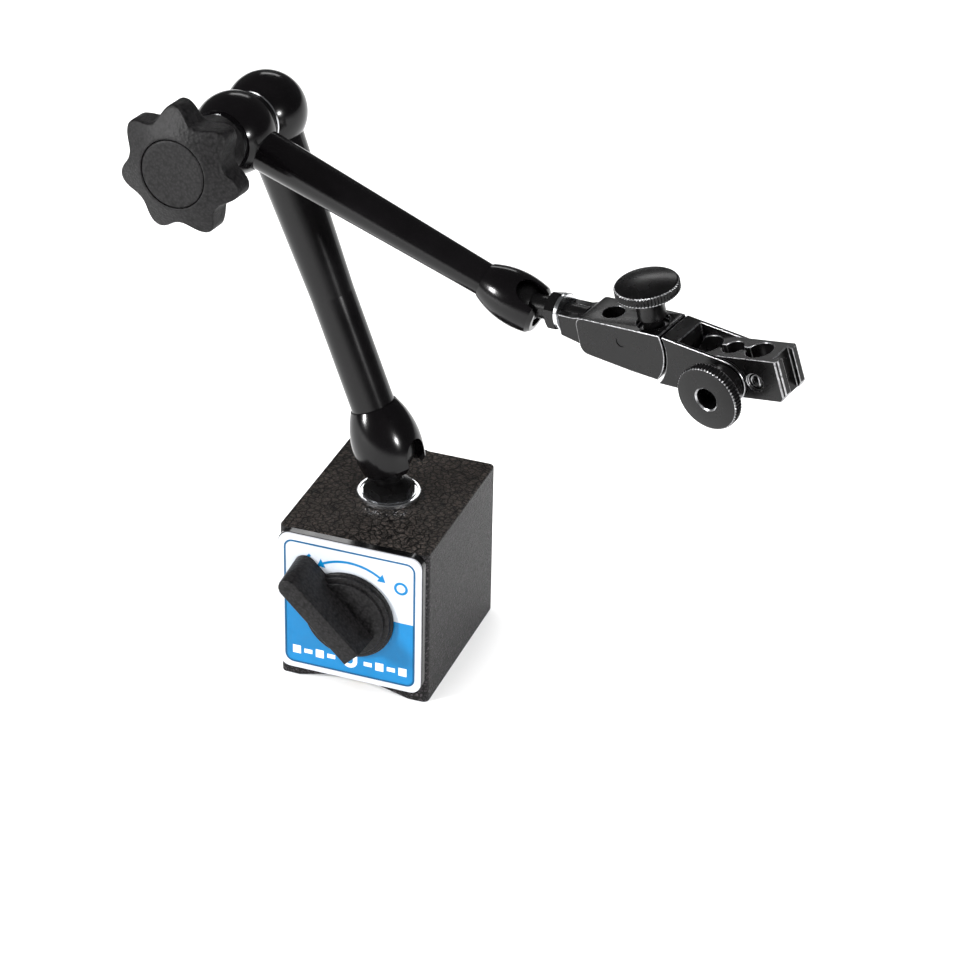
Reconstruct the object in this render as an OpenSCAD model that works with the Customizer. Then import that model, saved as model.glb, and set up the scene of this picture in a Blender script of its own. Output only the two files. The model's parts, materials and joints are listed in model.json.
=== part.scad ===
// Universal magnetic stand: switchable magnet block, two-piece arm locked by one
// central knob, and a fine-adjusting clamp for an indicator stem or dovetail.
// Millimetres. +Z up. Origin: underside of the magnet block, below the swivel axis.

/* [Magnet block] */
// Width of the block across the two poles
block_w = 50; // [44:1:70]
// Depth of the block, front to back
block_d = 60; // [52:1:80]
// Height of the block
block_h = 55; // [52:1:75]
// Radius of the block's upright corners
block_corner_r = 2; // [1:0.5:4]
// Thickness of the brass strips between the poles
separator_t = 3; // [2:0.5:5]
// Half-width of the V-groove in the underside
groove_half_w = 18.5; // [14:0.5:20]
// Depth of the V-groove
groove_depth = 4.7; // [3:0.1:6]

/* [Magnet and switch] */
// Height of the switch axis above the underside
rotor_z = 30; // [29:0.5:34]
// Radius of the round magnet
rotor_r = 12.2; // [10:0.1:12.3]
// Gap between the magnet and the poles
rotor_gap = 0.3; // [0.2:0.05:0.5]
// Thickness of the bearing discs that close both ends of the magnet's bore
bearing_t = 5; // [4:0.5:6]
// Thickness of the brass caps on the magnet
rotor_cap_t = 2; // [1.5:0.5:3]
// Radius of the shaft
shaft_r = 4; // [3:0.5:5]
// Radius of the switch knob's round base
knob_base_r = 15.1; // [13.1:0.5:17.1]
// Height of the switch knob's stepped base
knob_base_h = 3.8; // [3.6:0.2:6]
// Length of the switch lever
lever_len = 33; // [28:0.5:38]
// How far the lever is set off the disc centre, towards its rounded end
lever_shift = 7.1; // [4:0.1:9]
// Thickness of the switch lever
lever_t = 6.4; // [5:0.2:8]
// How far the lever stands out from the label
lever_out = 15.1; // [12.6:0.5:19.1]

/* [Front plate] */
// Width of the black bezel
bezel_w = 48.4; // [42:0.2:48.6]
// Height of the black bezel
bezel_h = 50; // [44:0.5:50]
// Thickness of the bezel
bezel_t = 2.4; // [2:0.2:4]
// Thickness of the printed label plate
label_t = 0.8; // [0.5:0.1:1.2]
// Margin of bezel around the label
label_margin = 0.35; // [0.2:0.05:1]
// Corner radius of bezel and label
plate_corner_r = 4; // [2:0.5:6]

/* [Swivel stud] */
// Height of the lower ball above the block
ball_rise = 16.4; // [16:0.2:20]
// Radius of the lower ball
lower_ball_r = 8; // [7.8:0.1:8.2]
// Radius of the neck under the lower ball
lower_neck_r = 4.2; // [3.9:0.1:4.3]
// Across flats of the stud's hexagon
stud_hex_af = 14.5; // [12:0.5:15]
// Height of the stud's hexagon
stud_hex_h = 4.1; // [3.8:0.1:4.6]
// Radius of the stud's washer
stud_washer_r = 10.2; // [9:0.1:12]
// Thickness of the stud's washer
stud_washer_t = 1.6; // [1.2:0.1:2]
// Radius of the stud's thread
stud_thread_r = 4; // [3.5:0.5:4.5]
// Depth of the stud's thread in the block
stud_thread_depth = 12; // [8:0.5:12]

/* [Lower arm] */
// Distance from the lower ball to the elbow
lower_len = 113.5; // [100:0.5:140]
// Radius of the lower cup at its fullest
lower_cup_r = 11; // [10.6:0.1:12]
// Height of the lower cup above the ball's centre
lower_cup_rise = 15.2; // [14.9:0.1:17]
// Depth of the lower cup below the ball's centre
lower_cup_drop = 7.2; // [6.8:0.1:7.6]
// Radius of the lower tube at the cup
lower_tube_r = 7; // [6.9:0.1:7.3]
// Radius of the lower tube at the elbow
lower_tube_top_r = 8.9; // [7.5:0.1:9.5]
// Distance from the ball at which the lower tube starts to widen
lower_taper_start = 53; // [40:1:70]
// Farthest lean of the lower arm on its slot side
lower_slot_angle = 76; // [60:1:80]

/* [Elbow] */
// Radius of both elbow balls
elbow_ball_r = 12.7; // [12.5:0.1:13.5]
// Distance between the centres of the two elbow balls
elbow_spacing = 19.3; // [18.8:0.1:20.5]
// Thickness of the bright ring between the balls
elbow_ring_t = 0.7; // [0.5:0.1:1]
// Radius of the bright ring
elbow_ring_r = 9.6; // [8.8:0.1:10.5]
// Distance from the front ball's centre to its flat under the knob
front_flat = 8.2; // [7.8:0.1:9]
// Radius of the draw bolt
bolt_r = 3; // [2.5:0.1:3.2]
// Radius of the wedges' bores in the balls
wedge_bore_r = 5.7; // [5.5:0.1:6]
// Slope of the wedges that drive the push rods
wedge_angle = 20; // [15:1:22]
// Radius of the push rods
rod_r = 2.5; // [2:0.1:2.6]

/* [Star knob] */
// Number of lobes
star_lobes = 7; // [5:1:8]
// Radius over the lobes
star_r = 20.2; // [18:0.2:24]
// Radius at the valleys between the lobes
star_valley_r = 16.4; // [14:0.2:18]
// Depth of the lobed rim
star_t = 10.8; // [9:0.2:14]
// How far the face rises from the lobes to the cap disc
star_crown = 2.9; // [1:0.1:4]
// Distance from the front ball's centre to the knob's front face
star_front = 36.6; // [35:0.1:42]
// Radius of the knob's hub
star_hub_r = 9; // [8.8:0.1:11]
// Radius of the cap in the knob's face
star_cap_r = 10.3; // [8.6:0.1:12.4]

/* [Upper arm] */
// Distance from the elbow to the upper ball
upper_len = 102; // [90:0.5:130]
// Radius of the upper tube at the elbow
upper_tube_r = 6.5; // [5.8:0.1:7]
// Radius of the upper tube at the cup
upper_tube_end_r = 5.1; // [5:0.1:5.5]
// Radius of the upper ball
upper_ball_r = 6; // [5.9:0.1:6.1]
// Radius of the neck behind the upper ball
upper_neck_r = 3.5; // [3:0.1:3.6]
// Radius of the upper cup at its fullest
upper_cup_r = 8.2; // [8:0.1:9]
// Length of the upper cup behind the ball's centre
upper_cup_rise = 12.9; // [12.5:0.1:14]
// Length of the upper cup beyond the ball's centre
upper_cup_drop = 6; // [5.5:0.1:6.2]
// Farthest tilt of the holder on the upper cup's slot side
upper_slot_angle = 80; // [60:1:82]

/* [Holder] */
// Distance from the upper ball to the holder's washer
holder_start = 15.2; // [14.5:0.1:17]
// Width of the fine-adjust body and the yoke
holder_w = 13.2; // [13.2:0.1:15]
// Distance from the upper ball to the fine hinge
hinge_x = 40.2; // [39.5:0.1:41]
// Height of the fine hinge above the stem's axis
hinge_z = -1.2; // [-1.6:0.1:-1]
// Radius of the rounded end of the fine-adjust body
hinge_end_r = 15.1; // [14.8:0.1:15.6]
// Gap between the rounded end and the yoke
hinge_gap = 0.8; // [0.5:0.1:1]
// Distance from the upper ball to the fine screw
fine_screw_x = 48; // [47.5:0.1:48.5]
// Radius of the fine screw's thread
fine_thread_r = 2.95; // [2.5:0.05:3]
// Radius of the fine screw's head
fine_head_r = 9.5; // [8:0.1:11]
// Radius of the fine screw's neck
fine_neck_r = 4.2; // [3.8:0.1:4.4]
// Radius of the cross hole through the fine-adjust body
cross_hole_r = 3.3; // [3:0.1:3.5]

/* [Yoke and clamp] */
// Distance from the upper ball to the clamp pivot
pivot_x = 75.6; // [75:0.1:78]
// Height of the clamp pivot above the stem's axis
pivot_z = -6.6; // [-7:0.1:-6]
// Thickness of each yoke cheek
cheek_t = 1.1; // [0.9:0.05:1.1]
// Radius of the yoke's rounded end
cheek_end_r = 6.7; // [6:0.1:7.2]
// Length of the clamp block ahead of its pivot
clamp_front = 19; // [18:0.1:22]
// Length of the clamp block behind its pivot
clamp_back = 14.2; // [13.9:0.1:14.4]
// Height of the clamp block above its pivot
clamp_top = 7.8; // [7:0.1:9]
// Depth of the clamp block below its pivot
clamp_bottom = 5.2; // [4.5:0.1:5.5]
// Bore for a 3/8 inch indicator stem
large_bore_r = 4.8; // [4.5:0.1:4.8]
// Bore for an 8 mm indicator stem
small_bore_r = 4.05; // [3:0.05:4.2]
// Width of the clamping slit
slit_w = 1.6; // [1:0.1:2]
// Radius of the clamp screw
clamp_screw_r = 2.45; // [2:0.05:2.6]
// Radius of the clamp screw's knurled head
clamp_head_r = 9.9; // [8:0.1:11]
// Thickness of the clamp screw's knurled head
clamp_head_t = 3.6; // [3:0.1:5]
// Distance from the yoke's middle to the outer face of the clamp screw's head
clamp_head_out = 16; // [14:0.1:19]

/* [Pose] */
// Compass direction in which the lower arm leans
arm_heading = 168.9; // [0:0.1:360]
// Lean of the lower arm from upright
arm_lean = 23.2; // [0:0.1:25]
// Turn of the elbow about the lower arm
arm_roll = -173.9; // [-180:0.1:180]
// Bend of the elbow from straight
elbow_bend = 131.9; // [0:0.1:150]
// Direction of the upper cup's slot about the upper arm
stem_heading = -151.6; // [-180:0.1:180]
// Tilt of the holder from the upper arm
stem_tilt = 29.6; // [0:0.1:70]
// Turn of the holder about its own stem
holder_roll = 163.8; // [-180:0.1:180]
// Pitch of the clamp block in the yoke
clamp_pitch = 6.5; // [-10:0.1:10]
// Angle of the switch lever from upright, with the magnet on
lever_angle = 45; // [0:1:45]

/* [Hidden] */
$fn = 64;
run = 0.05;        // radial clearance of a running fit
seat = 0.03;       // clearance of pieces that are pressed or screwed together
over = 1;          // how far a cutting body runs past the face it opens

bore_r = rotor_r + rotor_gap;
ball_z = block_h + ball_rise;
front_y = -block_d / 2;
bezel_z = block_h - bezel_h;
label_y = front_y - bezel_t - label_t;
rotor_half = block_d / 2 - bearing_t - rotor_cap_t - 0.3;
stop_r = (shaft_r + rotor_r) / 2;
stop_pin_r = 1.5;
detent_r = 1;
detent_z = rotor_r - 3;
detent_wall = 1;
detent_turns = 1 + floor((bearing_t - detent_wall - 2 * detent_r - 0.5) / 0.5);
knob_gap = 0.25;
knob_pin_r = 1;
knob_pin_half = 7;
shaft_end = label_y - knob_base_h + 0.6;
washer_gap = 0.05;
stud_hex_z = block_h + stud_washer_t + washer_gap;
stud_hex_turn = 33;
neck_skirt = 0.5;
ring_half = elbow_ring_t / 2 + 0.05;
mid_flat = elbow_spacing / 2 - ring_half;
wedge_r = 4;
wedge_back = 4;
wedge_tip = -(wedge_r - bolt_r - 0.05) / tan(wedge_angle);
wedge_travel = 1;
rod_tip = wedge_r + (rod_r + 0.1) / cos(wedge_angle);
lower_seat_top = lower_ball_r + 2.2;
upper_seat_top = upper_ball_r + 2.4;
lower_bore_r = 6.45;
upper_bore_r = 4.75;
knob_back = star_front - star_t;
hub_start = front_flat + 1.3;
insert_r = 6;
spigot_r = 4.8;
star_phase = 20;
star_segments = 112;
holder_washer_t = 1.35;
holder_hex_h = 3.65;
body_start = holder_start + holder_washer_t;
stem_thread_r = 3;
cross_hole_x = 34;
hinge_pin_r = 1.5;
fine_top = 3.9;
fine_end = hinge_x + hinge_end_r;
yoke_r = hinge_end_r + hinge_gap;
slot_w = 6;
slot_top = hinge_z + 1.2;
slot_bottom = hinge_z - 5.4;
tongue_top = hinge_z + 0.2;
tongue_bottom = hinge_z - 4.2;
pusher_top = tongue_top + 1.95;
head_bottom = 13.2;
head_rim = 3.3;
yoke_slot_x = pivot_x - clamp_back - 0.9;
cheek_in = holder_w / 2 - cheek_t;
clamp_half_w = cheek_in - 0.1;
large_bore_x = -8.9;
middle_hole_x = 0.4;
middle_hole_r = 3.2;
small_bore_x = 9.6;

// Points on an arc in the plane, from angle a0 to a1
function arc(x, y, r, a0, a1, n = 6) =
    [for (i = [0:n]) [x + r * cos(a0 + (a1 - a0) * i / n), y + r * sin(a0 + (a1 - a0) * i / n)]];

// ---- Frames: each one carries its children to where a sub-assembly stands ----

module switch_frame() translate([0, 0, rotor_z]) children();

module swing_frame()
    translate([0, 0, ball_z]) rotate([0, 0, arm_heading]) rotate([0, arm_lean, 0]) children();

module lower_frame() swing_frame() rotate([0, 0, arm_roll]) children();

module elbow_frame() lower_frame() translate([0, 0, lower_len]) children();

module upper_frame()
    elbow_frame() translate([0, -elbow_spacing, 0]) rotate([0, elbow_bend, 0]) children();

module upper_ball_frame()
    upper_frame() translate([0, 0, upper_len]) rotate([0, 0, stem_heading]) children();

module holder_frame()
    upper_ball_frame() rotate([0, stem_tilt, 0]) rotate([0, 0, holder_roll]) rotate([0, -90, 0])
        children();

module clamp_frame()
    holder_frame() translate([pivot_x, 0, pivot_z]) rotate([0, -clamp_pitch, 0]) children();

// ---- Shapes that repeat ----

// Cylinder along Y from y0 to y1
module along_y(r, y0, y1) translate([0, y1, 0]) rotate([90, 0, 0]) cylinder(r = r, h = y1 - y0);

// Cylinder along X from x0 to x1
module along_x(r, x0, x1) translate([x0, 0, 0]) rotate([0, 90, 0]) cylinder(r = r, h = x1 - x0);

// Cone along Y
module cone_y(r0, r1, y0, y1)
    translate([0, y1, 0]) rotate([90, 0, 0]) cylinder(r1 = r1, r2 = r0, h = y1 - y0);

// Outline in the XZ plane, w thick about y = 0
module side_plate(points, w)
    rotate([90, 0, 0]) translate([0, 0, -w / 2]) linear_extrude(w) polygon(points);

// Cylinder with chamfered rims
module disc(r, h, c)
    rotate_extrude() polygon([[0, 0], [r - c, 0], [r, c], [r, h - c], [r - c, h], [0, h]]);

// Hexagon whose top is turned to a cone, from top_r down by drop at the corners
module hex(af, h, top_r, drop)
    intersection() {
        cylinder(r = af / sqrt(3), h = h, $fn = 6);
        rotate_extrude()
            polygon([[0, 0], [af / sqrt(3), 0], [af / sqrt(3), h - drop], [top_r, h], [0, h]]);
    }

// Plate with round corners in the XZ plane, its front face at y
module front_plate(w, h, t, r, y)
    translate([0, y + t, 0]) rotate([90, 0, 0]) linear_extrude(t) union() {
        translate([-w / 2 + r, 0]) square([w - 2 * r, h]);
        translate([-w / 2, r]) square([w, h - 2 * r]);
        for (x = [-w / 2 + r, w / 2 - r], z = [r, h - r]) translate([x, z]) circle(r);
    }

// Compression spring as separate closed coils that touch nothing
module coil(r, wire, pitch, turns)
    for (i = [0:turns - 1]) translate([0, 0, wire + i * pitch])
        rotate_extrude() translate([r, 0]) circle(wire);

// Barrel-shaped cup, mouth down, ball centre at the origin, slot towards +X
module ball_cup(cup_r, rise, drop, seam_r, ball_r, neck_r, inner_r, slot_angle, free_tilt) {
    belly_z = 1.5;
    bevel = 0.24 * cup_r;
    arc_r = (pow(rise - belly_z, 2) + pow(cup_r - seam_r, 2)) / (2 * (cup_r - seam_r));
    mouth = free_tilt + asin(neck_r / ball_r) + 1.5;
    lip_r = ball_r * sin(mouth);
    lip_z = ball_r * cos(mouth);
    groove_w = 2 * neck_r + 0.9;
    reach = 2 * cup_r;
    difference() {
        rotate_extrude() difference() {
            intersection() {
                translate([cup_r - arc_r, belly_z]) circle(arc_r, $fn = 128);
                translate([0, -drop]) square([cup_r, rise + drop]);
            }
            polygon([[cup_r - bevel, -drop - over], [cup_r + over, -drop - over],
                [cup_r + over, -drop + bevel + over], [cup_r - bevel, -drop]]);
            polygon([[0, over - lip_z], [lip_r, over - lip_z], [lip_r, -lip_z],
                [lip_r + (drop + over - lip_z) * tan(free_tilt + 1.5), -drop - over], [0, -drop - over]]);
        }
        sphere(ball_r + run);
        cylinder(r = inner_r, h = rise + over);
        rotate([90, 0, 0]) translate([0, 0, -groove_w / 2]) linear_extrude(groove_w)
            polygon([[0, 0], [0, -reach], [reach, -reach], [reach, -reach / tan(slot_angle)]]);
        rotate([0, -slot_angle, 0]) translate([0, 0, -reach]) cylinder(r = groove_w / 2, h = reach);
    }
}

// Pressure pad between a push rod and its ball
module seat_pad(r, ball_r, top)
    difference() {
        translate([0, 0, ball_r * 0.55]) cylinder(r = r - run, h = top - ball_r * 0.55);
        sphere(ball_r + run);
    }

// Push rod with a domed tip
module push_rod(start, length)
    union() {
        translate([0, 0, start]) cylinder(r = rod_r, h = length - rod_tip - start);
        translate([0, 0, length - rod_tip]) sphere(rod_r);
    }

// Wedge on the draw bolt, with the push rod's axis at y = 0
module wedge()
    difference() {
        cone_y(wedge_r + wedge_tip * tan(wedge_angle), wedge_r + wedge_back * tan(wedge_angle),
            wedge_tip, wedge_back);
        along_y(bolt_r + seat, wedge_tip - over, wedge_back + over);
    }

// ---- Magnet block ----

module groove_cut()
    side_plate([[-groove_half_w, -over], [-groove_half_w, 0], [0, groove_depth], [groove_half_w, 0],
        [groove_half_w, -over]], block_d + 2 * over);

module stud_hole()
    translate([0, 0, block_h - stud_thread_depth])
        cylinder(r = stud_thread_r + run, h = stud_thread_depth + over);

module rotor_bore() switch_frame() along_y(bore_r, -block_d / 2 - over, block_d / 2 + over);

module bezel_screw_places()
    for (x = [-bezel_w / 2 + 5, bezel_w / 2 - 5], z = [bezel_z + 5, block_h - 5])
        translate([x, 0, z]) children();

// Right-hand pole; the left one is its mirror image
module pole() {
    r = block_corner_r;
    w = block_w / 2;
    difference() {
        linear_extrude(block_h) union() {
            translate([separator_t / 2, -block_d / 2]) square([w - r - separator_t / 2, block_d]);
            translate([separator_t / 2, -block_d / 2 + r])
                square([w - separator_t / 2, block_d - 2 * r]);
            for (y = [-1, 1]) translate([w - r, y * (block_d / 2 - r)]) circle(r);
        }
        groove_cut();
        rotor_bore();
        stud_hole();
        bezel_screw_places() along_y(1.25, front_y - over, front_y + 8);
    }
}

module pole_left() color("#1b1b1d") mirror([1, 0, 0]) pole();

module pole_right() color("#1b1b1d") pole();

module separator(z0, z1)
    difference() {
        translate([-separator_t / 2, -block_d / 2, z0]) cube([separator_t, block_d, z1 - z0]);
        groove_cut();
        rotor_bore();
        stud_hole();
    }

module separator_top() color("#b08d3e") separator(rotor_z + bore_r / 2, block_h);

module separator_bottom() color("#b08d3e") separator(0, rotor_z - bore_r / 2);

module stop_place() translate([-stop_r * sin(45), 0, stop_r * cos(45)]) children();

module front_bearing()
    color("#b08d3e") switch_frame() difference() {
        along_y(bore_r - seat, front_y, front_y + bearing_t);
        along_y(shaft_r + run, front_y - over, front_y + bearing_t + over);
        stop_place() along_y(stop_pin_r + seat, front_y - over, front_y + bearing_t + over);
        translate([0, 0, -detent_z])
            along_y(detent_r + 0.1, front_y + detent_wall - 0.1, front_y + bearing_t + over);
    }

module stop_pin()
    color("#8d9094") switch_frame() stop_place()
        along_y(stop_pin_r, front_y, front_y + bearing_t + rotor_cap_t);

module detent_ball()
    color("#c9ccd0") switch_frame() translate([0, front_y + bearing_t - detent_r - 0.05, -detent_z])
        sphere(detent_r);

module detent_spring()
    color("#a9adb1") switch_frame() translate([0, front_y + detent_wall, -detent_z])
        rotate([-90, 0, 0]) coil(detent_r - 0.3, 0.2, 0.5, detent_turns);

module rear_cover()
    color("#2a2a2c") switch_frame() difference() {
        along_y(bore_r - seat, block_d / 2 - bearing_t, block_d / 2);
        along_y(shaft_r - 1 + run, block_d / 2 - bearing_t - over, block_d / 2 - 1);
    }

module front_bezel()
    color("#111214") difference() {
        translate([0, 0, bezel_z])
            front_plate(bezel_w, bezel_h, bezel_t, plate_corner_r, front_y - bezel_t);
        switch_frame() along_y(shaft_r + 1, front_y - bezel_t - over, front_y + over);
        bezel_screw_places() {
            along_y(1.6, front_y - bezel_t - over, front_y + over);
            cone_y(3.1 + over, 1.6, front_y - bezel_t - over, front_y - bezel_t + 1.5);
        }
    }

module bezel_screws()
    color("#77797c") bezel_screw_places() difference() {
        union() {
            cone_y(3, 1.5, front_y - bezel_t + 0.05, front_y - bezel_t + 1.5);
            along_y(1.2, front_y - bezel_t + 1.4, front_y + 6);
        }
        rotate([90, 0, 0]) cylinder(r = 1, h = -front_y + bezel_t, $fn = 6);
    }

module label_plate()
    color("#dfe4ea") difference() {
        translate([0, 0, bezel_z + label_margin])
            front_plate(bezel_w - 2 * label_margin, bezel_h - 2 * label_margin, label_t,
                plate_corner_r - label_margin, label_y);
        switch_frame() along_y(shaft_r + 1, label_y - over, front_y);
    }

// ---- Magnet rotor and its knob ----

// Middle of the cross pin that holds the knob on the shaft
module pin_place() translate([0, label_y - knob_base_h / 2, 0]) children();

module rotor_magnet()
    color("#5b5d60") switch_frame() difference() {
        along_y(rotor_r, -rotor_half, rotor_half);
        along_y(shaft_r + seat, -rotor_half - over, rotor_half + over);
    }

module rotor_caps()
    color("#b08d3e") switch_frame() for (front = [true, false]) difference() {
        along_y(rotor_r - 0.2, front ? -rotor_half - rotor_cap_t : rotor_half,
            front ? -rotor_half : rotor_half + rotor_cap_t);
        along_y(shaft_r + seat, -block_d, block_d);
        if (front) rotate([90, 0, 0]) {
            rotate([0, 0, 120]) rotate_extrude(angle = 120, $fn = 96)
                translate([stop_r - stop_pin_r - 0.3, rotor_half - over])
                    square([2 * stop_pin_r + 0.6, rotor_cap_t + 2 * over]);
            for (a = [0, -90]) rotate([0, 0, a])
                translate([detent_z, 0, rotor_half + rotor_cap_t + detent_r - 0.4]) sphere(detent_r);
        }
    }

module rotor_shaft()
    color("#9a9da1") switch_frame() difference() {
        union() {
            along_y(shaft_r, shaft_end, block_d / 2 - bearing_t - 0.1);
            along_y(shaft_r - 1, block_d / 2 - bearing_t - 0.2, block_d / 2 - 1.2);
        }
        pin_place() cylinder(r = knob_pin_r + seat, h = 2 * (shaft_r + over), center = true);
    }

module knob_pin()
    color("#8d9094") switch_frame() pin_place()
        cylinder(r = knob_pin_r, h = 2 * knob_pin_half, center = true);

module switch_knob()
    color("#232326") switch_frame() rotate([0, -lever_angle, 0]) difference() {
        union() {
            along_y(knob_base_r, label_y - knob_base_h / 3, label_y - knob_gap);
            along_y(knob_base_r - 1, label_y - 2 * knob_base_h / 3, label_y - 1);
            along_y(knob_base_r - 2.5, label_y - knob_base_h, label_y - knob_base_h / 2);
            lever_bar();
        }
        along_y(shaft_r + seat, shaft_end - 0.1, label_y + over);
        rotate([0, lever_angle, 0]) pin_place()
            cylinder(r = knob_pin_r + seat, h = 2 * knob_pin_half + 0.2, center = true);
    }

// The lever: a long bar with one rounded end, its depth along Y
module lever_bar()
    translate([0, label_y - knob_gap, 0]) rotate([90, 0, 0]) linear_extrude(lever_out - knob_gap)
        polygon(concat([[-lever_t / 2, lever_shift - lever_len / 2], [lever_t / 2, lever_shift - lever_len / 2]],
            arc(0, lever_shift + (lever_len - lever_t) / 2, lever_t / 2, 0, 180, 10)));

// ---- Stud and lower arm ----

module stud_washer()
    color("#c7c9cb") translate([0, 0, block_h]) difference() {
        disc(stud_washer_r, stud_washer_t, 0.3);
        translate([0, 0, -over]) cylinder(r = stud_thread_r + 0.3, h = stud_washer_t + 2 * over);
        translate([0, 0, stud_washer_t - 0.4]) difference() {
            cylinder(r = stud_washer_r - 0.9, h = 1);
            translate([0, 0, -over]) cylinder(r = stud_washer_r - 1.6, h = 3);
        }
    }

module swivel_stud()
    color("#202124") union() {
        translate([0, 0, block_h - stud_thread_depth + 0.5])
            cylinder(r = stud_thread_r, h = stud_thread_depth + stud_washer_t);
        translate([0, 0, stud_hex_z]) rotate([0, 0, stud_hex_turn])
            hex(stud_hex_af, stud_hex_h, lower_neck_r + neck_skirt, 2.2);
        translate([0, 0, stud_hex_z + stud_hex_h - 0.1])
            cylinder(r1 = lower_neck_r + neck_skirt, r2 = lower_neck_r, h = neck_skirt);
        translate([0, 0, stud_hex_z + stud_hex_h])
            cylinder(r = lower_neck_r, h = ball_z - stud_hex_z - stud_hex_h);
        translate([0, 0, ball_z]) sphere(lower_ball_r);
    }

module lower_cup()
    color("#0e0e10") swing_frame() rotate([0, 0, 180])
        ball_cup(lower_cup_r, lower_cup_rise, lower_cup_drop, lower_tube_r + 0.5, lower_ball_r,
            lower_neck_r, lower_bore_r, lower_slot_angle, 26);

module lower_seat()
    color("#8d9094") lower_frame() seat_pad(lower_bore_r, lower_ball_r, lower_seat_top);

module lower_push_rod()
    color("#9a9da1") lower_frame() push_rod(lower_seat_top, lower_len);

// Arm tube: spigot in the cup, plain stretch, taper, spigot in the elbow ball
module arm_tube(cup_rise, cup_bore, r0, r1, taper_start, length)
    difference() {
        union() {
            translate([0, 0, cup_rise - 3.4]) cylinder(r = cup_bore - seat, h = 4.5);
            difference() {
                union() {
                    translate([0, 0, cup_rise]) cylinder(r = r0, h = taper_start - cup_rise);
                    translate([0, 0, taper_start])
                        cylinder(r1 = r0, r2 = r1, h = length - taper_start - 5);
                }
                translate([0, 0, length]) sphere(elbow_ball_r + seat);
            }
            translate([0, 0, length - 15]) cylinder(r = spigot_r, h = 8);
        }
        translate([0, 0, cup_rise - 5]) cylinder(r = rod_r + 0.3, h = length);
    }
module lower_tube()
    color("#0e0e10") lower_frame()
        arm_tube(lower_cup_rise, lower_bore_r, lower_tube_r, lower_tube_top_r, lower_taper_start,
            lower_len);

// ---- Elbow ----

module rear_elbow_ball()
    color("#0e0e10") elbow_frame() difference() {
        sphere(elbow_ball_r);
        translate([-20, -40 - mid_flat, -20]) cube(40);
        along_y(wedge_bore_r, -mid_flat - over, wedge_back + wedge_travel + 0.8);
        translate([0, 0, -16]) cylinder(r = rod_r + 0.15, h = 16);
        translate([0, 0, -22]) cylinder(r = spigot_r + seat, h = 22 - 6.8);
    }

module front_elbow_ball()
    color("#0e0e10") upper_frame() rotate([180, 0, 0]) difference() {
        sphere(elbow_ball_r);
        translate([-20, -40 - mid_flat, -20]) cube(40);
        translate([-20, front_flat, -20]) cube(40);
        along_y(wedge_bore_r, -20, 20);
        translate([0, 0, -16]) cylinder(r = rod_r + 0.15, h = 16);
        translate([0, 0, -22]) cylinder(r = spigot_r + seat, h = 22 - 6.8);
    }

module elbow_ring()
    color("#c7c9cb") elbow_frame() difference() {
        along_y(elbow_ring_r, -(elbow_spacing + elbow_ring_t) / 2, -(elbow_spacing - elbow_ring_t) / 2);
        along_y(wedge_bore_r, -20, 0);
    }

module rear_wedge() color("#8d9094") elbow_frame() wedge();

module front_wedge() color("#8d9094") elbow_frame() translate([0, -elbow_spacing, 0]) wedge();

module elbow_bolt()
    color("#9a9da1") elbow_frame() along_y(bolt_r, -elbow_spacing - knob_back - 6, wedge_back + 0.5);

module knob_frame() elbow_frame() translate([0, -elbow_spacing, 0]) children();

module knob_washer()
    color("#c7c9cb") knob_frame() difference() {
        along_y(8.4, -front_flat - 1.25, -front_flat - 0.05);
        along_y(bolt_r + 0.2, -20, 0);
    }

// Lobed outline: outer radius follows a smooth wave between valleys and lobes
function star_points(n) = [for (i = [0:n - 1])
    let (a = 360 * i / n, wave = (1 + cos(star_lobes * a)) / 2,
        r = star_valley_r + (star_r - star_valley_r) * pow(wave, 0.75))
    [r * sin(a), r * cos(a)]];

module star_knob()
    color("#242427") knob_frame() rotate([0, star_phase, 0]) difference() {
        union() {
            translate([0, -knob_back, 0]) rotate([90, 0, 0]) linear_extrude(star_t - star_crown)
                polygon(star_points(star_segments));
            cone_y(star_cap_r + 0.9, star_valley_r - 1, -star_front, -star_front + star_crown + 0.01);
            along_y(star_hub_r, -knob_back - 0.5, -hub_start);
        }
        along_y(insert_r + seat, -knob_back - 7.5, 0);
        along_y(star_cap_r + seat, -star_front - over, -star_front + 2);
    }

module knob_insert()
    color("#b08d3e") knob_frame() difference() {
        along_y(insert_r, -knob_back - 7.4, -hub_start);
        along_y(bolt_r + run, -knob_back - 6 - wedge_travel + 0.6, 0);
    }

module knob_cap()
    color("#242427") knob_frame() along_y(star_cap_r, -star_front, -star_front + 1.95);

// ---- Upper arm ----

module upper_tube()
    color("#0e0e10") upper_frame() translate([0, 0, upper_len]) mirror([0, 0, 1])
        arm_tube(upper_cup_rise, upper_bore_r, upper_tube_end_r, upper_tube_r, upper_cup_rise + 1,
            upper_len);

module upper_cup()
    color("#0e0e10") upper_ball_frame() mirror([0, 0, 1])
        ball_cup(upper_cup_r, upper_cup_rise, upper_cup_drop, upper_tube_end_r + 0.5, upper_ball_r,
            upper_neck_r, upper_bore_r, upper_slot_angle, 9);

module upper_seat()
    color("#8d9094") upper_ball_frame() mirror([0, 0, 1])
        seat_pad(upper_bore_r, upper_ball_r, upper_seat_top);

module upper_push_rod()
    color("#9a9da1") upper_ball_frame() mirror([0, 0, 1]) push_rod(upper_seat_top, upper_len);

// ---- Holder ----

module holder_stud()
    color("#202124") holder_frame() rotate([0, 90, 0]) union() {
        sphere(upper_ball_r);
        cylinder(r = upper_neck_r, h = holder_start - 3);
        translate([0, 0, holder_start]) mirror([0, 0, 1]) hex(10.6, holder_hex_h, 5.1, 0.9);
        translate([0, 0, holder_start - 1]) cylinder(r = stem_thread_r, h = holder_washer_t + 9);
    }

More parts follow.
